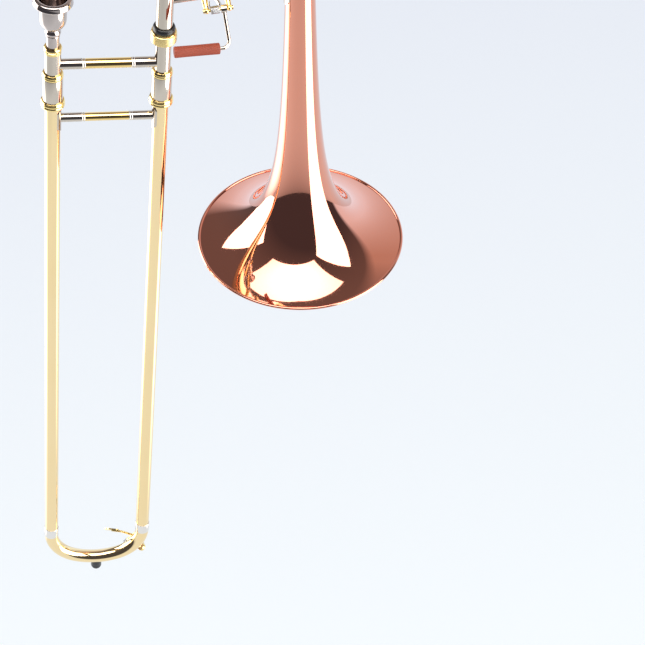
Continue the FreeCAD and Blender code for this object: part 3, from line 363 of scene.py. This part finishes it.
def ring_frames(points):
    """A centre and two cross directions at every point, turned as little as possible along the way."""
    tangents = []
    for index in range(len(points)):
        before = points[max(index - 1, 0)]
        after = points[min(index + 1, len(points) - 1)]
        tangents.append((after - before).normalized())
    side = tangents[0].orthogonal().normalized()
    frames = []
    for centre, tangent in zip(points, tangents):
        side = (side - tangent * side.dot(tangent)).normalized()
        frames.append((centre, side, tangent.cross(side)))
    return frames


def through(start, via, end, steps=8):
    """Points of the arc from start to end through via, without its start."""
    ax, ay = start
    bx, by = via
    cx, cy = end
    a_square = ax * ax + ay * ay
    b_square = bx * bx + by * by
    c_square = cx * cx + cy * cy
    scale = 2 * (ax * (by - cy) + bx * (cy - ay) + cx * (ay - by))
    middle_x = (a_square * (by - cy) + b_square * (cy - ay) + c_square * (ay - by)) / scale
    middle_y = (a_square * (cx - bx) + b_square * (ax - cx) + c_square * (bx - ax)) / scale
    radius = math.hypot(ax - middle_x, ay - middle_y)
    first = math.atan2(ay - middle_y, ax - middle_x)
    halfway = math.atan2(by - middle_y, bx - middle_x)
    final = math.atan2(cy - middle_y, cx - middle_x)
    turn = (final - first) % (2 * math.pi)
    if (halfway - first) % (2 * math.pi) > turn:
        turn -= 2 * math.pi
    found = []
    for step in range(1, steps + 1):
        angle = first + turn * step / steps
        found.append((middle_x + radius * math.cos(angle), middle_y + radius * math.sin(angle)))
    return found


def soft(profile, radius=0.25, steps=4):
    """A closed profile with its corners rounded; gentle turns and corners on the axis stay."""
    count = len(profile)
    made = []
    for index, corner in enumerate(profile):
        here = Vector(corner)
        before = Vector(profile[index - 1])
        after = Vector(profile[(index + 1) % count])
        back, ahead = before - here, after - here
        if back.length < 1e-9 or ahead.length < 1e-9 or here.x == 0:
            made.append(corner)
            continue
        opening = back.angle(ahead)
        if opening > math.radians(150):
            made.append(corner)
            continue
        cut = min(radius / math.tan(opening / 2), 0.4 * back.length, 0.4 * ahead.length)
        start, end = here + back.normalized() * cut, here + ahead.normalized() * cut
        for step in range(steps + 1):
            share = step / steps
            point = start.lerp(here, share).lerp(here.lerp(end, share), share)
            made.append((point.x, point.y))
    return made


# ---------------------------------------------------------------- bell
def bell_radius(height):
    """The outside radius at a height above the mouth."""
    flare = FLARE_RADIUS * (1 + height / FLARE_REACH) ** -FLARE_POWER
    return flare + STEM_RADIUS - STEM_TAPER * height


def bell_slope(height):
    """How fast the outside radius changes with height."""
    flare = FLARE_RADIUS * (1 + height / FLARE_REACH) ** (-FLARE_POWER - 1)
    return -FLARE_POWER / FLARE_REACH * flare - STEM_TAPER


def bell_pieces():
    """The flare and stem as one spun shell, and the rolled bead of its rim."""
    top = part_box("bell_stem")[1].z / MM
    outside, inside = [], []
    for step in range(BELL_RINGS + 1):
        height = BELL_EDGE + (top - BELL_EDGE) * (step / BELL_RINGS) ** BELL_CROWDING
        slope = bell_slope(height)
        length = math.hypot(1, slope)
        outside.append((bell_radius(height), height))
        inside.append((bell_radius(height) - BELL_WALL / length, height + BELL_WALL * slope / length))
    inside[-1] = (inside[-1][0], top)
    shell = Shape().lathe(outside + inside[::-1], Matrix(), BELL_SEGMENTS)
    piece("bell_shell", shell.vertices, shell.faces, "bell_section", "copper",
          ["bell_flare", "bell_stem"], 60)

    rim_low, rim_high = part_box("bell_rim")
    bead = (rim_high.z - rim_low.z) / 2 / MM
    circle = rim_high.x / MM - bead
    ring = []
    steps = 20
    for step in range(steps):
        angle = 2 * math.pi * step / steps
        ring.append((circle + bead * math.cos(angle), bead * math.sin(angle)))
    rim = Shape().lathe(ring, Matrix(), BELL_SEGMENTS)
    piece("bell_rim_bead", rim.vertices, rim.faces, "bell_section", "copper", ["bell_rim"], 80)


# ---------------------------------------------------------------- slide, nut and mouthpiece
def turned_pieces(name, profile, sides, body, slot, replaced, segments=ROUND, relief=None, finish=None):
    """One object holding the same turned profile on one or both slide tubes."""
    shape = Shape()
    for side in sides:
        shape.lathe(profile, slide_place(side), segments, relief)
    piece(name, shape.vertices, shape.faces, body, slot, replaced, finish=finish)


def slide_pieces():
    """The barrels with their rings, and the collars where the outer tubes meet the bow."""
    turned_pieces("barrel_shells", soft([
        (7.95, 224.6), (10.1, 224.6), (10.1, 252.4), (7.15, 252.4), (7.15, 247.1), (7.95, 247.1),
    ], 0.2), (0, 1), "inner_slide", "nickel", ["barrels"])
    top_ring = soft([
        (6.75, 252.4), (9.9, 252.4), (10.4, 253.0), (10.4, 254.6), (9.85, 255.2),
        (10.3, 255.8), (10.3, 257.0), (9.5, 258.6), (6.75, 258.6),
    ], 0.35)
    low_ring = soft([
        (7.95, 216.4), (10.7, 216.4), (11.8, 217.4), (11.95, 218.9), (11.15, 219.9), (11.9, 220.7),
        (11.9, 222.1), (11.2, 223.0), (11.6, 223.6), (11.0, 224.55), (7.95, 224.55),
    ], 0.35)
    rings = Shape()
    for side in (0, 1):
        rings.lathe(top_ring, slide_place(side))
    rings.lathe(low_ring, slide_place(1))
    piece("barrel_trim", rings.vertices, rings.faces, "inner_slide", "bright_brass", ["barrel_rings"])
    turned_pieces("lock_ring", low_ring, (0,), "slide_lock", "bright_brass", ["slide_lock_ring"])
    turned_pieces("bow_collars", soft([
        (7.7, -441.0), (7.95, -441.0), (8.15, -440.2), (8.15, -428.3), (7.95, -427.5), (7.7, -427.5),
    ], 0.2), (0, 1), "outer_slide", "nickel", ["bow_ferrules"], finish="pale_nickel")


def brace_beads():
    """The thin bright rings where a brace's middle meets its two sockets."""
    for name, body, level, tubes, radius in BRACES:
        shape = Shape()
        for side, tube_radius in enumerate(tubes):
            reach = tube_radius + BRACE_SOCKET
            away = SLIDE_WIDTH * side + (reach if side == 0 else -reach)
            centre = slide_place(0) @ Vector((away * MM, 0, level * MM))
            place = axes(centre, slide_place(0).to_3x3() @ Vector((1, 0, 0)), UP)
            for start in BEAD_STARTS:
                bead = soft([
                    (radius - 0.3, start), (radius + 0.35, start), (radius + 0.62, start + 0.5),
                    (radius + 0.62, start + 0.9), (radius + 0.35, start + 1.4), (radius - 0.3, start + 1.4),
                ], 0.15)
                shape.lathe(bead, place, 64)
        piece(name, shape.vertices, shape.faces, body, "nickel", finish="pale_nickel")


def knurl(angle, radius, height):
    """Two crossing sets of fine grooves round the grip of the nut."""
    if radius < KNURL_RADIUS or not KNURL_LOW < height < KNURL_HIGH:
        return 0.0
    around = KNURL_GROOVES * angle
    up = KNURL_RISE * height
    return -KNURL_DEPTH * max(abs(math.cos((around + up) / 2)), abs(math.cos((around - up) / 2))) ** 6


def nut_pieces():
    """The knurled lock nut, and the rubber ring that sits on it."""
    low_edge = [(10.7, 293.8), (11.4, 293.8), (12.2, 294.4), (12.65, 295.4)]
    grip = [(12.78 - 0.02 * abs(step - 16) / 4, 295.8 + 0.26 * step) for step in range(33)]
    high_edge = [(12.5, 304.5), (11.9, 304.9), (12.0, 305.5), (12.25, 305.9), (12.0, 306.6), (11.3, 306.8)]
    inside = [(8.45, 306.8), (8.45, 303.8), (10.7, 303.8)]
    turned_pieces("knurled_nut", low_edge + grip + high_edge + inside, (0,), "lock_nut", "bright_brass",
                  ["lock_nut"], 432, knurl)
    turned_pieces("nut_cushion", soft([
        (8.45, 306.8), (10.8, 306.8), (11.0, 308.4), (10.9, 310.2),
        (10.4, 311.6), (9.7, 312.2), (8.45, 312.2),
    ], 0.5), (0,), "lock_nut", "black_rubber", ["nut_rubber_ring"])


def mouthpiece_piece():
    """Shank, collar, cup and rim outside, then the cup and bore inside, as one outline."""
    outline = [(4.6, 236.0), (5.85, 236.0), (6.5, 300.0), (6.5, 303.2)]
    outline += [(6.95, 303.7), (6.95, 304.7), (6.6, 305.1)]
    outline += through(outline[-1], (7.85, 308.0), (6.6, 311.2))
    outline += [(6.2, 311.7), (6.2, 312.4)]
    outline += through(outline[-1], (10.9, 316.6), (13.2, 323.6), 16)
    outline += [(13.35, 327.0), (13.4, 337.5)]
    outline += through(outline[-1], (14.0, 339.9), (16.4, 341.3), 10)
    outline += [(18.6, 342.4)]
    outline += through(outline[-1], (19.3, 343.1), (19.4, 344.2), 8)
    outline += [(19.0, 347.4)]
    outline += through(outline[-1], (18.4, 348.9), (17.0, 349.5), 8)
    outline += through(outline[-1], (15.6, 349.8), (14.6, 349.4), 8)
    outline += [(14.1, 348.8), (13.2, 346.6), (12.5, 336.0)]
    outline += through(outline[-1], (9.6, 326.0), (3.5, 320.0), 14)
    outline += [(3.5, 312.0)]
    turned_pieces("mouthpiece_cup", outline, (1,), "mouthpiece", "silver", ["mouthpiece"], 144)


# ---------------------------------------------------------------- springs, sleeve and cap
def coil(place, radius, wire, length, turns, legs=()):
    """A helical spring along the place's Z axis in millimetres; legs are straight ends."""
    steps = int(turns * 28)
    points = []
    for step in range(steps + 1):
        angle = 2 * math.pi * turns * step / steps
        points.append(Vector((radius * math.cos(angle), radius * math.sin(angle), length * step / steps)))
    if legs:
        points.insert(0, points[0] + Vector(legs[0]))
        points.append(points[-1] + Vector(legs[1]))
    return Shape().sweep([place @ (point * MM) for point in points], wire, 10)


def lever_pieces():
    """The thumb lever's return spring on its hinge, and the sleeve on its wire."""
    start = Vector((SPRING_LEFT, HINGE_Y, HINGE_Z)) * MM
    place = axes(start, Vector((1, 0, 0)), Vector((0, 1, 0)))
    length = SPRING_RIGHT - SPRING_LEFT
    legs = ((0, 8.5, 0), (0, -6.0, 0))
    spring = coil(place, SPRING_RADIUS, SPRING_WIRE, length - 2 * SPRING_WIRE, 8, legs)
    piece("lever_coil", spring.vertices, spring.faces, "bell_section", "spring_steel", ["lever_spring"])
    left, right = Vector(SLEEVE_LEFT) * MM, Vector(SLEEVE_RIGHT) * MM
    reach = (left - right).length / MM
    profile = [(1.75, 0), (SLEEVE_RADIUS - 0.7, 0)]
    profile += through(profile[-1], (SLEEVE_RADIUS - 0.2, 0.25), (SLEEVE_RADIUS, 0.8), 5)
    profile += through(profile[-1], (SLEEVE_RADIUS - 0.12, reach / 2), (SLEEVE_RADIUS, reach - 0.8), 10)
    profile += through(profile[-1], (SLEEVE_RADIUS - 0.2, reach - 0.25), (SLEEVE_RADIUS - 0.7, reach), 5)
    profile += [(0, reach), (0, reach - 8.0), (1.75, reach - 8.0)]
    sleeve = Shape().lathe(profile, axes(right, left - right, UP))
    piece("grip_sleeve", sleeve.vertices, sleeve.faces, "thumb_lever", "orange_sleeve", ["thumb_sleeve"])


def key_coil_piece():
    """The water key's spring on the long end of its pin."""
    turn = math.radians(KEY_TURN)
    sideways = BOW_CORNER - BOW_CORNER * math.cos(turn)
    pivot = Vector((sideways, -KEY_PIVOT_BACK, FERRULE_END - BOW_CORNER * math.sin(turn)))
    along = slide_place(0).to_3x3() @ Vector((math.sin(turn), 0, -math.cos(turn)))
    place = axes(slide_place(0) @ (pivot * MM), along, Vector((0, -1, 0)))
    place = place @ Matrix.Translation((0, 0, KEY_COIL_START * MM))
    shape = coil(place, KEY_COIL_RADIUS, KEY_COIL_WIRE, KEY_COIL_LENGTH, KEY_COIL_TURNS)
    piece("key_coil", shape.vertices, shape.faces, "outer_slide", "spring_steel", ["water_key_spring"])


def valve_cap_piece():
    """The screw cap of the valve, with turned steps and a knurled edge."""
    def milled(angle, radius, height):
        return -0.25 * math.cos(60 * angle) ** 2 if radius > 19.6 and 0.3 < height < 3.4 else 0.0

    profile = [(0, 0.4), (17.0, 0.4), (17.0, 0), (19.5, 0), (20.0, 0.5)]
    profile += [(20.0, 0.5 + 0.45 * step) for step in range(1, 7)]
    profile += through((19.8, 3.6), (19.3, 4.3), (18.2, 4.6))
    profile += [(15.6, 5.0), (15.3, 4.7), (14.9, 5.1), (9.4, 6.0), (9.0, 5.6), (8.6, 6.1)]
    profile += through((8.6, 6.1), (4.5, 6.7), (1.5, 7.0)) + [(0, 7.0)]
    base = (Vector(VALVE) + Vector((0, -CAP_OUT, 0))) * MM
    cap = Shape().lathe(profile, axes(base, Vector((0, -1, 0)), UP), 240, milled)
    piece("turned_valve_cap", cap.vertices, cap.faces, "bell_section", "bright_brass", ["valve_cap"])


# ---------------------------------------------------------------- finishes of the CAD nodes
def finish_cad_nodes():
    """Every CAD node wears the material of its slot in the record; the brace tubes are a richer brass."""
    for part in frame["record"]["subparts"]:
        shown = frame["nodes"][part["node"]]
        golden = part["node"].endswith("brace_tube")
        shown.data.materials.clear()
        shown.data.materials.append(MATERIALS["golden_brass" if golden else part["material_slot"]])


# ---------------------------------------------------------------- stage
def facing_point(azimuth, elevation, distance):
    """A point seen from the bell's mouth; azimuth runs from -Y towards +X, in degrees."""
    turn, rise = math.radians(azimuth), math.radians(elevation)
    return Vector((
        math.sin(turn) * math.cos(rise), -math.cos(turn) * math.cos(rise), math.sin(rise),
    )) * distance


def glossy_only(made):
    """Seen in polished metal, but not by the camera, and it lights and shades nothing else."""
    made.visible_camera = False
    made.visible_diffuse = False
    made.visible_shadow = False
    made.visible_transmission = False
    made.visible_volume_scatter = False


def light_material(name, colour, strength, clear=False):
    """A glowing surface, or with clear a glow that lets what is behind it show through."""
    material = bpy.data.materials.new(name)
    material.use_nodes = True
    tree = material.node_tree
    tree.nodes.clear()
    glow = node(tree, "ShaderNodeEmission", Color=(*colour, 1), Strength=strength)
    light = glow.outputs[0]
    if clear:
        behind = node(tree, "ShaderNodeBsdfTransparent")
        both = node(tree, "ShaderNodeAddShader")
        tree.links.new(light, both.inputs[0])
        tree.links.new(behind.outputs[0], both.inputs[1])
        light = both.outputs[0]
    out = node(tree, "ShaderNodeOutputMaterial")
    tree.links.new(light, out.inputs[0])
    return material, tree, glow


def away_from(tree, centre):
    """The distance from a centre, in the surface's own coordinates."""
    place = node(tree, "ShaderNodeTexCoord")
    away = node(tree, "ShaderNodeVectorMath", operation="DISTANCE")
    tree.links.new(place.outputs["Object"], away.inputs[0])
    away.inputs[1].default_value = centre
    return away.outputs["Value"]


def fading(tree, glow, centre, near, far, strong, weak):
    """Makes a glow weaken with the distance from a centre."""
    tree.links.new(between(tree, away_from(tree, centre), strong, weak, near, far), glow.inputs["Strength"])


def card(name, corners, material):
    """A flat glowing panel that only the polished metal sees."""
    mesh = bpy.data.meshes.new(name)
    mesh.from_pydata([tuple(corner) for corner in corners], [], [tuple(range(len(corners)))])
    mesh.materials.append(material)
    made = bpy.data.objects.new(name, mesh)
    bpy.context.scene.collection.objects.link(made)
    glossy_only(made)
    return made


def softbox(name, azimuth, distance, outline, material):
    """An upright panel square to the level direction at an azimuth; outline holds (sideways, height)."""
    turn = math.radians(azimuth)
    outward = Vector((math.sin(turn), -math.cos(turn), 0)) * distance
    sideways = Vector((math.cos(turn), math.sin(turn), 0))
    card(name, [outward + sideways * across + UP * height for across, height in outline], material)


def floor_glow(name, centre, radius, strength):
    """A pool of light on the floor, strongest in its middle."""
    material, tree, glow = light_material(name, (1.0, 0.97, 0.93), strength, clear=True)
    fading(tree, glow, (0, 0, 0), 0.2, radius, strength, 0.0)
    corners = []
    steps = 32
    for step in range(steps):
        angle = 2 * math.pi * step / steps
        corners.append(Vector((math.cos(angle) * radius, math.sin(angle) * radius, 0)))
    card(name, corners, material).location = (*centre, FLOOR_HEIGHT + GLOW_LIFT)


def studio_dome():
    """A large shell of pale wall and dark room that only the polished metal sees."""
    rows, columns = 24, 48
    vertices, faces = [], []
    for row in range(rows + 1):
        for column in range(columns):
            vertices.append(facing_point(360 * column / columns, 90 - 120 * row / rows, DOME_RADIUS))
    for row in range(rows):
        for column in range(columns):
            following = (column + 1) % columns
            faces.append((row * columns + column, row * columns + following,
                          (row + 1) * columns + following, (row + 1) * columns + column))
    mesh = bpy.data.meshes.new("studio_dome")
    mesh.from_pydata([tuple(v) for v in vertices], [], faces)
    mesh.shade_smooth()
    material = bpy.data.materials.new("studio_walls")
    material.use_nodes = True
    tree = material.node_tree
    tree.nodes.clear()
    place = node(tree, "ShaderNodeTexCoord")

    def ramp_along(direction, low, high, start, end):
        """A value that runs along a direction of the room."""
        along = node(tree, "ShaderNodeVectorMath", operation="DOT_PRODUCT")
        tree.links.new(place.outputs["Object"], along.inputs[0])
        along.inputs[1].default_value = direction
        return between(tree, along.outputs["Value"], low, high, start, end)

    def times(first, second):
        made = node(tree, "ShaderNodeMath", operation="MULTIPLY")
        tree.links.new(first, made.inputs[0])
        tree.links.new(second, made.inputs[1])
        return made.outputs[0]

    right_part = ramp_along((0.966, 0.259, -0.2), 0.0, 1.0, -0.25, 0.25)
    back_part = ramp_along((-0.12, 0.98, -0.1), 0.0, 1.0, -0.25, 0.25)
    low_part = ramp_along((-0.2, 0, 1), 1.0, 0.0, 2.3, 3.5)
    dark = ramp_along((0, 0.6, 0.8), (0.075, 0.074, 0.088), (0.20, 0.18, 0.18), -0.3, 3.2)
    wall = ramp_along((0, 0, 1), (1.02, 1.16, 1.32), (0.66, 0.56, 0.52), 0.0, 2.6)
    mix = node(tree, "ShaderNodeMix", data_type="RGBA")
    tree.links.new(times(times(right_part, back_part), low_part), mix.inputs["Factor"])
    tree.links.new(dark, mix.inputs["A"])
    tree.links.new(wall, mix.inputs["B"])
    tint = mix.outputs["Result"]
    glow = node(tree, "ShaderNodeEmission")
    tree.links.new(tint, glow.inputs["Color"])
    out = node(tree, "ShaderNodeOutputMaterial")
    tree.links.new(glow.outputs[0], out.inputs[0])
    mesh.materials.append(material)
    dome = bpy.data.objects.new("studio_dome", mesh)
    bpy.context.scene.collection.objects.link(dome)
    glossy_only(dome)


def floor_plane(name, height):
    """A level pale plane with a painted falloff of light, darker towards the back; gives it back with its
    material's tree, shader and colour.
    """
    half = FLOOR_SIZE / 2
    mesh = bpy.data.meshes.new(name)
    mesh.from_pydata([(-half, -half, height), (half, -half, height),
                      (half, half, height), (-half, half, height)], [], [(0, 1, 2, 3)])
    material, tree, shader = new_material(name, Roughness=1.0)
    shader.inputs["Specular IOR Level"].default_value = 0.0
    place = node(tree, "ShaderNodeTexCoord")
    split = node(tree, "ShaderNodeSeparateXYZ")
    tree.links.new(place.outputs["Object"], split.inputs["Vector"])
    # Painted falloff of light: paler near the front, greyer and bluer towards the back.
    tint = between(tree, split.outputs["Y"], (0.93, 0.965, 0.985), (0.815, 0.84, 0.90), 0.3, 1.9)
    tree.links.new(tint, shader.inputs["Base Color"])
    mesh.materials.append(material)
    made = bpy.data.objects.new(name, mesh)
    bpy.context.scene.collection.objects.link(made)
    return made, tree, shader, tint


def floor_in_reflections():
    """The floor that the polished metal sees, with painted shade: it darkens away from the lit backdrop."""
    made, tree, shader, tint = floor_plane("floor_in_reflections", FLOOR_HEIGHT + REFLECTED_FLOOR_LIFT)
    glossy_only(made)
    away = away_from(tree, (0.5, 1.1, FLOOR_HEIGHT))
    # Painted shade: the floor's colour turns dark grey with distance from the lit area.
    shade = node(tree, "ShaderNodeMix", data_type="RGBA")
    tree.links.new(between(tree, away, 0.0, 1.0, 3.0, 5.6), shade.inputs["Factor"])
    tree.links.new(tint, shade.inputs["A"])
    shade.inputs["B"].default_value = (0.20, 0.19, 0.20, 1)
    tree.links.new(shade.outputs["Result"], shader.inputs["Base Color"])


def softboxes():
    """The bright shapes that the polished metal reflects."""
    white = light_material("softbox_white", WARM_WHITE, SIDE_LIGHT)[0]
    overhead, tree, glow = light_material("softbox_overhead", WARM_WHITE, TOP_LIGHT)
    softbox("softbox_left", -135, SOFTBOX_DISTANCE, LEFT_SOFTBOX, white)
    softbox("softbox_right", 60, SOFTBOX_DISTANCE, RIGHT_SOFTBOX, white)
    fading(tree, glow, (-0.3, -0.7, TOP_HEIGHT), 0.5, 1.6, TOP_LIGHT, TOP_EDGE_LIGHT)
    corners = [Vector((x * TOP_HEIGHT, y * TOP_HEIGHT, TOP_HEIGHT)) for x, y in TOP_SOFTBOX]
    card("softbox_top", corners, overhead)
    floor_glow("floor_glow_left", (-1.75, 1.05), 1.2, LEFT_GLOW)
    floor_glow("floor_glow_right", (0.95, -0.2), 0.55, RIGHT_GLOW)


def surround_and_lamp():
    """An even white surround, and one soft lamp for a little shape."""
    world = bpy.data.worlds.new("studio")
    world.use_nodes = True
    world.node_tree.nodes["Background"].inputs["Color"].default_value = (0.97, 0.985, 1.0, 1)
    world.node_tree.nodes["Background"].inputs["Strength"].default_value = 1.0
    bpy.context.scene.world = world
    key = bpy.data.lights.new("key", "AREA")
    key.energy = LAMP_POWER
    key.size = LAMP_SIZE
    key_lamp = bpy.data.objects.new("key", key)
    key_lamp.location = LAMP_PLACE
    key_lamp.rotation_mode = "QUATERNION"
    key_lamp.rotation_quaternion = (-LAMP_PLACE).to_track_quat("-Z", "Y")
    key_lamp.visible_camera = False
    key_lamp.visible_glossy = False
    bpy.context.scene.collection.objects.link(key_lamp)


def camera():
    """The viewing camera, from its place, its three angles and its lens."""
    heading, tilt, roll = (math.radians(angle) for angle in (CAMERA_HEADING, CAMERA_TILT, CAMERA_ROLL))
    ahead = Vector((math.sin(heading) * math.cos(tilt), math.cos(heading) * math.cos(tilt), -math.sin(tilt)))
    level = Vector((math.cos(heading), -math.sin(heading), 0))
    below = ahead.cross(level)
    right = level * math.cos(roll) + below * math.sin(roll)
    down = below * math.cos(roll) - level * math.sin(roll)
    data = bpy.data.cameras.new("camera")
    data.lens = CAMERA_LENS
    data.sensor_width = CAMERA_SENSOR
    data.clip_end = CAMERA_REACH
    made = bpy.data.objects.new("camera", data)
    place = Matrix((right, -down, -ahead)).transposed().to_4x4()
    place.translation = CAMERA_PLACE
    made.matrix_world = place
    bpy.context.scene.collection.objects.link(made)
    bpy.context.scene.camera = made


camera()
floor_plane("floor", FLOOR_HEIGHT)
floor_in_reflections()
softboxes()
studio_dome()
surround_and_lamp()
finish_cad_nodes()
bell_pieces()
slide_pieces()
brace_beads()
nut_pieces()
mouthpiece_piece()
lever_pieces()
key_coil_piece()
valve_cap_piece()
bpy.context.scene.view_settings.view_transform = "Standard"

bpy.context.view_layer.update()
